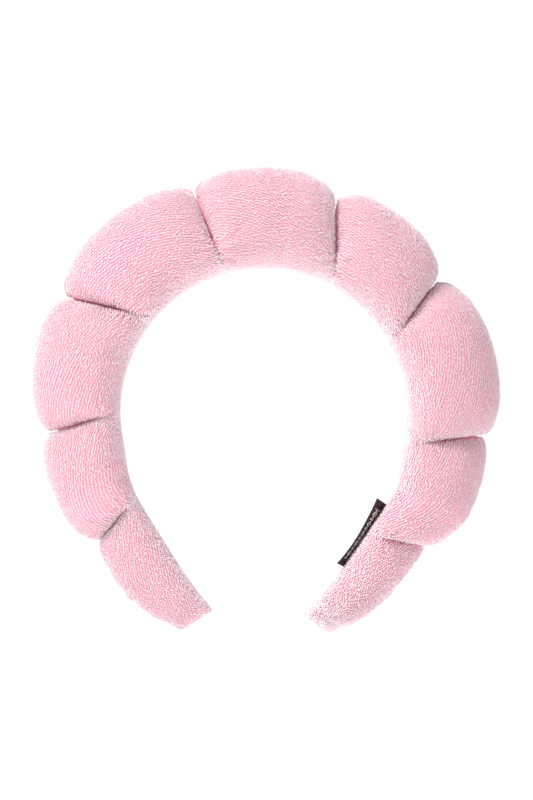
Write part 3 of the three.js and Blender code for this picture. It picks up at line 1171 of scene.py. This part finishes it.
@dataclass(frozen=True)
class YarnArches:
    """A Geometry Nodes tree that stands a small arch of yarn on each point of a mesh.

    The points carry the attributes "up" and "run", for the arch's height and width.
    """

    title: str
    span: float
    height: float
    yarn: float
    wander: float
    seed: int
    steps: int = 4
    sides: int = 3
    unlike: float = 0.18

    def tree(self, finish: Finish) -> bpy.types.NodeTree:
        """Builds the tree with named inputs.

        Args:
            finish: What the arches are made of.

        Returns:
            The geometry tree.
        """
        made = bpy.data.node_groups.new(self.title, "GeometryNodeTree")
        face = made.interface
        face.new_socket("Geometry", in_out="INPUT", socket_type="NodeSocketGeometry")
        for name in ("Span", "Height", "Yarn radius", "Wander"):
            face.new_socket(name, in_out="INPUT", socket_type="NodeSocketFloat")
        face.new_socket("Seed", in_out="INPUT", socket_type="NodeSocketInt")
        face.new_socket("Geometry", in_out="OUTPUT", socket_type="NodeSocketGeometry")
        given = add_node(made, "NodeGroupInput").outputs

        def put(kind: str, links: dict[Any, Any], **settings: Any) -> bpy.types.NodeSocket:
            """Adds a node to this tree and returns its first output."""
            return add_node(made, kind, settings, links).outputs[0]

        def vector(*parts: Any) -> bpy.types.NodeSocket:
            """Joins three numbers."""
            return put("ShaderNodeCombineXYZ", dict(enumerate(parts)))

        def direction(name: str) -> bpy.types.NodeSocket:
            """Reads a direction that the points carry."""
            return put("GeometryNodeInputNamedAttribute", {0: name}, data_type="FLOAT_VECTOR")

        def draw(low: float, high: float, seed: Any) -> bpy.types.NodeSocket:
            """Draws a number for each point."""
            links = {2: low, 3: high, "Seed": seed}
            kind = {"data_type": "FLOAT"}
            return add_node(made, "FunctionNodeRandomValue", kind, links).outputs[1]

        def keep(geometry: Any, name: str, value: Any, domain: str) -> bpy.types.NodeSocket:
            """Stores a number with the geometry."""
            links = {"Geometry": geometry, "Name": name, "Value": value}
            return put("GeometryNodeStoreNamedAttribute", links, data_type="FLOAT", domain=domain)

        # One arch is half a circle, stretched to its size and swept with the yarn's section.
        size = vector(maths(made, "MULTIPLY", given["Span"], 0.5), 1.0, given["Height"])
        half_circle = {"Resolution": self.steps + 1, "Radius": 1.0, "Sweep Angle": math.pi}
        arc = put("GeometryNodeCurveArc", half_circle)
        upright = put("GeometryNodeTransform", {"Geometry": arc, "Rotation": (math.pi / 2, 0, 0)})
        sized = put("GeometryNodeTransform", {"Geometry": upright, "Scale": size})
        circle = {"Resolution": self.sides, "Radius": given["Yarn radius"]}
        ring = put("GeometryNodeCurvePrimitiveCircle", circle)
        swept = {"Curve": sized, "Profile Curve": ring, "Fill Caps": True}
        arch = put("GeometryNodeCurveToMesh", swept)
        # Each point's height up the arch, 0 at its base and 1 at its top; the loops' finish uses it to
        # paint shade toward the base.
        where = put("GeometryNodeInputPosition", {})
        rise = add_node(made, "ShaderNodeSeparateXYZ", links={0: where}).outputs[2]
        tip = maths(made, "DIVIDE", rise, given["Height"], clamp=True)
        tipped = keep(arch, "tip", tip, "POINT")
        # It stands along "up", faces along "run", and then turns and grows a little at random.
        align = "FunctionNodeAlignRotationToVector"
        stand = put(align, {"Vector": direction("up")}, axis="Z")
        faced = {"Rotation": stand, "Vector": direction("run")}
        face_run = put(align, faced, axis="X", pivot_axis="Z")
        least = maths(made, "MULTIPLY", given["Wander"], -1.0)
        spread = {0: vector(*[least] * 3), 1: vector(*[given["Wander"]] * 3), "Seed": given["Seed"]}
        turn = put("FunctionNodeRandomValue", spread, data_type="FLOAT_VECTOR")
        turned = put("FunctionNodeRotateRotation", {0: face_run, 1: turn}, rotation_space="LOCAL")
        placed = {
            "Points": given["Geometry"],
            "Instance": tipped,
            "Rotation": turned,
            "Scale": draw(1 - self.unlike, 1 + self.unlike, given["Seed"]),
        }
        stood = put("GeometryNodeInstanceOnPoints", placed)
        toned = keep(stood, "tone", draw(0.0, 1.0, self.seed + 7), "INSTANCE")
        real = put("GeometryNodeRealizeInstances", {0: toned})
        dressed = put("GeometryNodeSetMaterial", {"Geometry": real, "Material": finish.material()})
        add_node(made, "NodeGroupOutput", links={0: dressed})
        return made

    def stand(
        self,
        name: str,
        points: np.ndarray,
        up: np.ndarray,
        run: np.ndarray,
        finish: Finish,
        offset: int = 0,
    ) -> bpy.types.Object:
        """Stands the arches on points and turns the result into a plain mesh.

        Args:
            name: The piece's name.
            points: Where the arches stand.
            up: The direction of each arch's height.
            run: The direction of each arch's width.
            finish: What the arches are made of.
            offset: Added to the seed, so that pieces differ.

        Returns:
            The piece.
        """
        bed = new_mesh_object(f"{name}_bed", points, [])
        for key, vectors in (("up", up), ("run", run)):
            layer = bed.data.attributes.new(key, "FLOAT_VECTOR", "POINT")
            layer.data.foreach_set("vector", vectors.astype(np.float32).ravel())
        tree = bpy.data.node_groups.get(self.title) or self.tree(finish)
        grower = bed.modifiers.new("arches", "NODES")
        grower.node_group = tree
        values = {
            "Span": self.span,
            "Height": self.height,
            "Yarn radius": self.yarn,
            "Wander": self.wander,
            "Seed": self.seed + offset,
        }
        for item in tree.interface.items_tree:
            if item.item_type == "SOCKET" and item.in_out == "INPUT" and item.name in values:
                grower[item.identifier] = values[item.name]
        piece = plain_copy(bed, name)
        piece.data.shade_smooth()
        return piece


@dataclass
class Pile:
    """The sleeve's loops, in rows along the band."""

    sleeve: Sleeve
    row_pitch: float = 1.16 * MM
    loop_pitch: float = 0.80 * MM
    sink: float = 0.12 * MM
    slant: float = 0.55
    flattened: float = 0.75 * MM
    arches: YarnArches = field(
        default_factory=lambda: YarnArches(
            "terry_loop", 0.78 * MM, 0.85 * MM, 0.22 * MM, 0.36, seed=11, steps=3
        )
    )

    def bed(self, number: int) -> tuple[np.ndarray, np.ndarray, np.ndarray]:
        """Spaces the loops over one piece of the sleeve.

        Args:
            number: The piece's number, from the left end.

        Returns:
            The loops' points, and the directions of their height and width.
        """
        sleeve = self.sleeve
        first, last = sleeve.cuts[number], sleeve.cuts[number + 1]
        grid, normals = sleeve.grid[first : last + 1], sleeve.normals[first : last + 1]
        rings, around = grid.shape[:2]
        girth = np.linalg.norm(grid - np.roll(grid, 1, 1), axis=-1).sum(1)
        rows = int(round(np.percentile(girth, 70) / self.row_pitch))
        stations = sleeve.stations[first : last + 1]
        random = np.random.default_rng(100 + number)
        points, ups, runs = [], [], []
        ring_numbers = np.arange(rings)
        for row in range(rows):
            # A row wanders round the sleeve along the band, as the twisted cloth does.
            share = row / rows + self.slant * (stations - stations[0]) / girth
            column = (share % 1.0) * around
            line = self.at(grid, ring_numbers, column)
            run = run_along(line)
            steps = max(int(run[-1] / self.loop_pitch), 1)
            wanted = (np.arange(steps) + 0.5 * (row % 2) + random.uniform(0.1, 0.4)) / steps
            wanted = wanted[wanted < 1] * run[-1]
            wanted = wanted + random.normal(0, 0.10 * self.loop_pitch, len(wanted))
            at_ring = np.interp(wanted, run, ring_numbers)
            at_column = np.interp(at_ring, ring_numbers, np.unwrap(column, period=around))
            at_column = at_column + random.normal(0, 0.10, len(wanted))
            place = self.at(grid, at_ring, at_column % around)
            up = unit(self.at(normals, at_ring, at_column % around))
            clear = self.clear_of_tie(number, at_ring + first, place)
            place, up = place[clear], up[clear]
            at_ring, at_column = at_ring[clear], at_column[clear]
            ahead = self.at(grid, np.minimum(at_ring + 0.5, rings - 1), at_column % around)
            behind = self.at(grid, np.maximum(at_ring - 0.5, 0), at_column % around)
            points.append(place - up * self.sink)
            ups.append(up)
            runs.append(unit(ahead - behind))
        joined = [np.concatenate(part) for part in (points, ups, runs)]
        return joined[0], joined[1], joined[2]

    def clear_of_tie(self, number: int, ring: np.ndarray, place: np.ndarray) -> np.ndarray:
        """Finds the loops that aren't pressed flat in the tied line.

        Args:
            number: The groove's number.
            ring: The loops' ring numbers in the whole sleeve.
            place: Where the loops stand.

        Returns:
            True for each loop that stands.
        """
        path, groove = self.sleeve.path, GROOVES[number]
        station = np.interp(ring, np.arange(len(self.sleeve.stations)), self.sleeve.stations)
        points, _, outward = path.axes(station)
        rise = ((place - points) * outward).sum(-1)
        return (np.abs(station - groove.station) > self.flattened) | (rise < 0.3 * groove.notch)

    @staticmethod
    def at(grid: np.ndarray, ring: np.ndarray, column: np.ndarray) -> np.ndarray:
        """Reads a grid between its points.

        Args:
            grid: Values by ring and column, where the columns close up.
            ring: Ring numbers with their fractions.
            column: Column numbers with their fractions.

        Returns:
            The values.
        """
        rings, around = grid.shape[:2]
        ring = np.clip(ring, 0, rings - 1.0001)
        low, left = np.floor(ring).astype(int), np.floor(column).astype(int) % around
        high, right = low + 1, (left + 1) % around
        up, over = (ring - low)[..., None], (column - np.floor(column))[..., None]
        near = grid[low, left] * (1 - over) + grid[low, right] * over
        far = grid[high, left] * (1 - over) + grid[high, right] * over
        return near * (1 - up) + far * up

    def build(self) -> None:
        """Makes the loops of each piece of the sleeve."""
        for number in range(len(GROOVES)):
            points, up, run = self.bed(number)
            name = f"terry_pile_{number + 1}"
            piece = self.arches.stand(name, points, up, run, TerryLoops(), number)
            self.sleeve.bend(piece, number)
            report_piece(piece, f"{len(points)} loops")


# ---------------------------------------------------------------- inside the sleeve


@dataclass
class Stuffing:
    """The fibre pads, one in each puff, on the outer side of the hoop."""

    sleeve: Sleeve
    under_cloth: float = 2.3 * MM
    above_head: float = 5.2 * MM
    from_groove: float = 4.2 * MM
    inset: float = 7 * MM
    end_power: float = 0.45
    side_share: float = 0.94
    rings: int = 26
    around: int = 40

    def pad(self, number: int) -> bpy.types.Object:
        """Makes one crowned pad with rounded ends.

        Args:
            number: The puff's number, from the left end.

        Returns:
            The pad.
        """
        sleeve, path = self.sleeve, self.sleeve.path
        edges = [path.left_end + self.inset, *(g.station for g in GROOVES), path.right_end - self.inset]
        low, high = edges[number] + self.from_groove, edges[number + 1] - self.from_groove
        turn = np.linspace(0, math.pi, self.rings + 2)[1:-1]
        stations = (low + high) / 2 - (high - low) / 2 * np.cos(turn)
        bow = np.sin(turn) ** self.end_power
        height, depth = sleeve.envelope(stations)
        groove_dip = np.zeros_like(stations)
        for groove in GROOVES:
            dip = crease(np.abs(stations - groove.station), sleeve.broad_reach)
            groove_dip += groove.face_crease * MM * dip
        angles = np.arange(self.around) / self.around * FULL_TURN
        points = []
        for station, tall, wide, dip, share in zip(stations, height, depth, groove_dip, bow):
            top = tall - self.under_cloth - dip
            middle, reach = (top + self.above_head) / 2, (top - self.above_head) / 2
            side = (wide - self.under_cloth - dip) * self.side_share
            rise = middle + reach * share * np.sign(np.cos(angles)) * np.abs(np.cos(angles)) ** 0.9
            across = side * share * np.sin(angles)
            leans = sleeve.lean(np.full(self.around, station))
            points.append(path.point(np.full(self.around, station), rise, across, leans))
        grid = np.array(points)
        ends = [grid[0].mean(0), grid[-1].mean(0)]
        total = self.rings * self.around
        faces = tube_faces(self.rings, self.around)
        for column in range(self.around):
            after = (column + 1) % self.around
            last = (self.rings - 1) * self.around
            faces.append((total, column, after)[::-1])
            faces.append((total + 1, last + after, last + column)[::-1])
        pad = new_mesh_object(
            f"{PUFFS[number].name}_fibre_pad", np.concatenate([grid.reshape(-1, 3), ends]), faces
        )
        turn_outward(pad)
        return pad

    def build(self) -> None:
        """Makes the pads and dresses them."""
        for number, puff in enumerate(PUFFS):
            pad = self.pad(number)
            pad.data.materials.append(FibreFill().material())
            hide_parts(f"{puff.name}_stuffing")
            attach(pad, puff.name)
            report_piece(pad, puff.name)


def turn_outward(piece: bpy.types.Object) -> None:
    """Turns a closed mesh's faces outward if they point in."""
    mesh = piece.data
    mesh.calc_loop_triangles()
    corners = np.zeros(len(mesh.loop_triangles) * 3, int)
    mesh.loop_triangles.foreach_get("vertices", corners)
    places = np.zeros(len(mesh.vertices) * 3)
    mesh.vertices.foreach_get("co", places)
    a, b, c = places.reshape(-1, 3)[corners.reshape(-1, 3)].transpose(1, 0, 2)
    if float((a * np.cross(b, c)).sum()) < 0:
        mesh.flip_normals()


@dataclass
class Hoop:
    """The plastic hoop inside the sleeve, whose CAD solids keep their shape."""

    def build(self) -> None:
        """Dresses the hoop's solids."""
        for puff in PUFFS:
            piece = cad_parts[f"{puff.name}_hoop"]
            piece.data.materials.clear()
            piece.data.materials.append(MouldedStrip().material())
            report_piece(piece, puff.name)


@dataclass
class Ties:
    """The threads tied round the sleeve's neck in each groove, hidden by the folds."""

    sleeve: Sleeve
    strand: float = 0.32 * MM
    strands: int = 2
    share: float = 0.66
    steps: int = 84
    sides: int = 6
    twists: int = 26

    def tie(self, number: int) -> bpy.types.Object:
        """Makes one tie as two strands twisted together, closed on itself.

        Args:
            number: The groove's number, from the left end.

        Returns:
            The tie.
        """
        groove, sleeve = GROOVES[number], self.sleeve
        height, depth = sleeve.envelope(np.array([groove.station]))
        tall = float(height[0]) - groove.top_crease * MM
        wide = float(depth[0]) - groove.face_crease * MM
        turn = np.arange(self.steps) / self.steps * FULL_TURN
        line = sleeve.section(tall, wide, turn)
        centre = np.array([tall * 0.45, 0.0])
        line = centre + (line - centre) * self.share
        leans = sleeve.lean(np.full(self.steps, groove.station))
        middle = sleeve.path.point(
            np.full(self.steps, groove.station), line[:, 0], line[:, 1], leans
        )
        ahead = unit(np.roll(middle, -1, 0) - np.roll(middle, 1, 0))
        out = unit(middle - middle.mean(0))
        out = unit(out - (out * ahead).sum(-1, keepdims=True) * ahead)
        side = np.cross(ahead, out)
        rings, faces = [], []
        for strand in range(self.strands):
            phase = turn * self.twists + strand * FULL_TURN / self.strands
            core = middle + self.strand * 0.9 * (
                np.cos(phase)[:, None] * out + np.sin(phase)[:, None] * side
            )
            start = strand * self.steps * self.sides
            for step in range(self.steps):
                for corner in range(self.sides):
                    angle = corner / self.sides * FULL_TURN
                    spoke = math.cos(angle) * out[step] + math.sin(angle) * side[step]
                    rings.append(core[step] + self.strand * spoke)
                    here, after = step * self.sides, (step + 1) % self.steps * self.sides
                    over = (corner + 1) % self.sides
                    faces.append(
                        (
                            start + here + corner,
                            start + after + corner,
                            start + after + over,
                            start + here + over,
                        )
                    )
        tie = new_mesh_object(f"groove_tie_{number + 1}", np.array(rings), faces)
        turn_outward(tie)
        return tie

    def build(self) -> None:
        """Makes the ties and dresses them."""
        for number, groove in enumerate(GROOVES):
            tie = self.tie(number)
            tie.data.materials.append(SewingThread().material())
            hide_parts(f"{groove.outer_body}_tie")
            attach(tie, groove.outer_body)
            report_piece(tie, groove.outer_body)


# ---------------------------------------------------------------- stitching and label


@dataclass
class Stitching:
    """The closing seam along the head side, and the whipped seams at the two ends."""

    sleeve: Sleeve
    pitch: float = 3.2 * MM
    seam: YarnArches = field(
        default_factory=lambda: YarnArches(
            "seam_stitch", 2.4 * MM, 0.4 * MM, 0.17 * MM, 0.10, seed=31, steps=6, sides=6
        )
    )
    end_pitch: float = 1.9 * MM

    def seam_piece(self, number: int) -> bpy.types.Object:
        """Sews one piece of the head-side seam with slanted stitches.

        Args:
            number: The sleeve piece's number, from the left end.

        Returns:
            The stitches.
        """
        sleeve = self.sleeve
        first, last = sleeve.cuts[number], sleeve.cuts[number + 1]
        line, up = sleeve.grid[first : last + 1, 0], sleeve.normals[first : last + 1, 0]
        run = run_along(line)
        at = np.arange(self.pitch / 2, run[-1], self.pitch)
        points, ups = read_at(at, run, line), unit(read_at(at, run, up))
        ahead = unit(np.gradient(points, axis=0))
        runs = unit(ahead * 0.75 + TOWARD_BACK * 0.65)
        return self.seam.stand(
            f"seam_stitches_{number + 1}",
            points + ups * 0.15 * MM,
            ups,
            runs,
            SewingThread(),
            number,
        )

    def end_piece(self, side: int) -> bpy.types.Object:
        """Whips the seam across one sewn end.

        Args:
            side: 0 for the left end, 1 for the right one.

        Returns:
            The stitches.
        """
        sleeve = self.sleeve
        ring = sleeve.grid[0 if side == 0 else -1]
        half = ring[: len(ring) // 2 + 1]
        run = run_along(half)
        at = np.arange(self.end_pitch, run[-1] - self.end_pitch / 2, self.end_pitch)
        points = read_at(at, run, half)
        points[:, 1] = 0
        _, along, outward = sleeve.path.axes(
            np.array([sleeve.path.left_end, sleeve.path.right_end])
        )
        out = along[side] * (-1 if side == 0 else 1)
        runs = np.tile(unit(TOWARD_BACK + 0.45 * outward[side]), (len(points), 1))
        ups = np.tile(out, (len(points), 1))
        name = f"{'left' if side == 0 else 'right'}_end_stitches"
        return self.seam.stand(name, points + out * 0.3 * MM, ups, runs, SewingThread(), 20 + side)

    def build(self) -> None:
        """Makes the stitches and dresses them."""
        for number in range(len(GROOVES)):
            piece = self.seam_piece(number)
            self.sleeve.bend(piece, number)
            report_piece(piece, f"groove {number + 1}")
        for side, body in ((0, "left_tip"), (1, "right_tip")):
            piece = self.end_piece(side)
            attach(piece, body)
            report_piece(piece, body)


@dataclass
class SideLabel:
    """A folded strip of woven tape, sewn by its base to the right arm's head edge."""

    sleeve: Sleeve
    start: float = 121.02 * MM
    length: float = 29 * MM
    width: float = 6.5 * MM
    tape: float = 0.24 * MM
    gap: float = 0.10 * MM
    lift: float = 0.3 * MM
    tilt: float = math.radians(64)
    tucked: float = 0.6 * MM
    bow: float = 1.1 * MM
    wave: float = 0.5 * MM
    sway: float = 0.35 * MM
    loose: float = 0.9 * MM
    loose_reach: float = 0.12
    steps: int = 60
    rows: int = 14

    def axes(self) -> tuple[np.ndarray, np.ndarray, np.ndarray, np.ndarray]:
        """Gives the label's start on the band and its directions: along, out and across."""
        path = self.sleeve.path
        points, along, outward = path.axes(np.array([self.start]))
        out = math.cos(self.tilt) * -outward[0] - math.sin(self.tilt) * TOWARD_BACK
        return points[0], along[0], out, np.cross(along[0], out)

    def tape_mesh(self) -> bpy.types.Object:
        """Folds the tape lengthwise into two layers, with a closed edge outward.

        Returns:
            The tape as a closed wall of cloth, with its map in millimetres.
        """
        origin, along, out, across = self.axes()
        inward = np.array([along[2], 0.0, -along[0]])
        base = self.lift - self.tucked
        straight = self.lift + self.width - base - self.gap
        fold = (self.tape + self.gap) / 2
        middle: list[tuple[float, float]] = []
        for t in np.linspace(0, 1, self.rows):
            middle.append((base + straight * t, fold))
        for t in np.linspace(0, math.pi, 8)[1:-1]:
            middle.append((base + straight + fold * math.sin(t), fold * math.cos(t)))
        for t in np.linspace(1, 0, self.rows):
            middle.append((base + straight * t, -fold))
        line = np.array(middle)
        ahead = np.gradient(line, axis=0)
        side = unit(np.stack([-ahead[:, 1], ahead[:, 0]], -1))
        run = run_along(line)
        loop = np.concatenate([line + side * self.tape / 2, (line - side * self.tape / 2)[::-1]])
        mapped = np.concatenate([run, run[::-1]]) / MM
        places, maps = [], []
        for t in np.linspace(0, 1, self.steps):
            station = t * self.length
            # The tape bows a little where nothing holds it, and its upper end stands free.
            bow = self.wave * math.sin(t * math.pi * 1.5 + 0.4)
            for (high, sideways), v in zip(loop, mapped):
                free = max(high - self.lift, 0) / self.width
                ripple = (bow + self.loose * math.exp(-t / self.loose_reach)) * free**1.5
                place = origin + along * (station + self.sway * free * math.sin(9 * t))
                place = place + out * high + across * (sideways + ripple)
                place = place - inward * self.bow * free * math.sin(t * math.pi)
                places.append(place)
                maps.append((station / MM, v))
        around = len(loop)
        faces = tube_faces(self.steps, around)
        half = around // 2
        for ring, flip in ((0, True), (self.steps - 1, False)):
            start = ring * around
            for step in range(half - 1):
                face = (start + step, start + step + 1)
                face += (start + around - step - 2, start + around - step - 1)
                faces.append(face if flip else face[::-1])
        tape = new_mesh_object("side_label_tape", np.array(places), faces)
        turn_outward(tape)
        write_map(tape, np.array(maps))
        return tape

    def stitches(self) -> bpy.types.Object:
        """Sews the label's base down with a row of small stitches."""
        origin, along, out, across = self.axes()
        at = np.arange(2.5 * MM, self.length - 1.5 * MM, 2.4 * MM)
        points = origin + along * at[:, None] + out * (self.lift - 0.3 * MM)
        points = points - across * 0.42 * MM
        ups = np.tile(-across, (len(at), 1))
        runs = np.tile(along, (len(at), 1))
        arches = YarnArches(
            "label_stitch", 1.7 * MM, 0.3 * MM, 0.14 * MM, 0.06, seed=53, steps=6, sides=6
        )
        return arches.stand("label_stitches", points, ups, runs, SewingThread())

    def build(self) -> None:
        """Makes the label and dresses it."""
        tape = self.tape_mesh()
        tape.data.materials.append(WovenTape().material())
        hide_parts("side_label")
        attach(tape, "label")
        report_piece(tape, "label")
        stitches = self.stitches()
        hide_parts("label_thread")
        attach(stitches, "right_tip")
        report_piece(stitches, "right_tip")


# ---------------------------------------------------------------- studio


WHITE = "#FFFFFF"
# Each soft box's name, place, side and power.
SOFT_BOXES = (
    ("key_box", (-0.80, -0.60, 1.05), 0.5, 17.5),
    ("top_box", (-0.10, -0.2, 1.1), 0.7, 4.5),
)


@dataclass(frozen=True)
class PaleBoard(Finish):
    """Matt white background board, evenly lit, so that only a faint shadow shows on it."""

    title: ClassVar[str] = "studio_pale_board"
    glow: float = 0.54

    def dress(self, tree: bpy.types.NodeTree, shader: bpy.types.Node) -> None:
        """Sets the shader's sockets."""
        sockets = {
            "Base Color": linear(WHITE),
            "Roughness": 1.0,
            "Specular IOR Level": 0.0,
            "Emission Color": linear(WHITE),
            "Emission Strength": self.glow,
        }
        connect(tree, shader, sockets)


@dataclass
class Studio:
    """The camera, the lights and the pale floor and backdrop."""

    aim: tuple[float, float, float] = (0.95 * MM, 0.0, -49.8 * MM)
    distance: float = 1.4
    lens: float = 165.0
    floor_gap: float = 1.5 * MM
    floor_half: float = 6.0
    ambient: float = 0.53
    backdrop: float = 1.02

    def camera(self) -> None:
        """Makes the camera, level with the band and square to its face."""
        data = bpy.data.cameras.new("camera")
        data.lens = self.lens
        data.sensor_width = 36.0
        data.clip_end = 50.0
        camera = bpy.data.objects.new("camera", data)
        bpy.context.scene.collection.objects.link(camera)
        camera.location = (self.aim[0], self.aim[1] - self.distance, self.aim[2])
        camera.rotation_euler = (math.pi / 2, 0, 0)
        bpy.context.scene.camera = camera

    def light(
        self, name: str, place: tuple[float, float, float], size: float, watts: float
    ) -> None:
        """Adds a square soft box that faces the band.

        Args:
            name: The light's name.
            place: Where it hangs.
            size: The length of its side.
            watts: Its power.
        """
        data = bpy.data.lights.new(name, "AREA")
        data.size = size
        data.energy = watts
        lamp = bpy.data.objects.new(name, data)
        bpy.context.scene.collection.objects.link(lamp)
        lamp.location = place
        aim = Vector(self.aim) - Vector(place)
        lamp.rotation_euler = aim.to_track_quat("-Z", "Y").to_euler()

    def build(self) -> None:
        """Makes the floor board, the lights and the sky."""
        low = cad_box[0][2] - self.floor_gap
        half = self.floor_half
        corners = np.array([(x * half, y * half, low) for x, y in ((-1, -1), (1, -1), (1, 1), (-1, 1))])
        floor = new_mesh_object("studio_floor", corners, [(0, 1, 2, 3)])
        floor.data.materials.append(PaleBoard().material())
        scene = bpy.context.scene
        world = bpy.data.worlds.new("studio_sky")
        world.use_nodes = True
        tree = world.node_tree
        # The backdrop is seen as clean white, and lights the cloth more softly than that.
        seen = add_node(tree, "ShaderNodeLightPath").outputs["Is Camera Ray"]
        strength = maths(tree, "MULTIPLY_ADD", seen, self.backdrop - self.ambient, self.ambient)
        connect(tree, tree.nodes["Background"], {0: linear(WHITE), 1: strength})
        scene.world = world
        scene.view_settings.view_transform = "Standard"
        for name, place, size, watts in SOFT_BOXES:
            self.light(name, place, size, watts)


def main() -> None:
    """Builds the headband and its studio."""
    studio = Studio()
    studio.camera()
    sleeve = Sleeve()
    sleeve.lay()
    sleeve.build()
    Pile(sleeve).build()
    Stuffing(sleeve).build()
    Hoop().build()
    Ties(sleeve).build()
    Stitching(sleeve).build()
    SideLabel(sleeve).build()
    studio.build()
    bpy.context.view_layer.update()


if __name__ == "__main__":
    main()
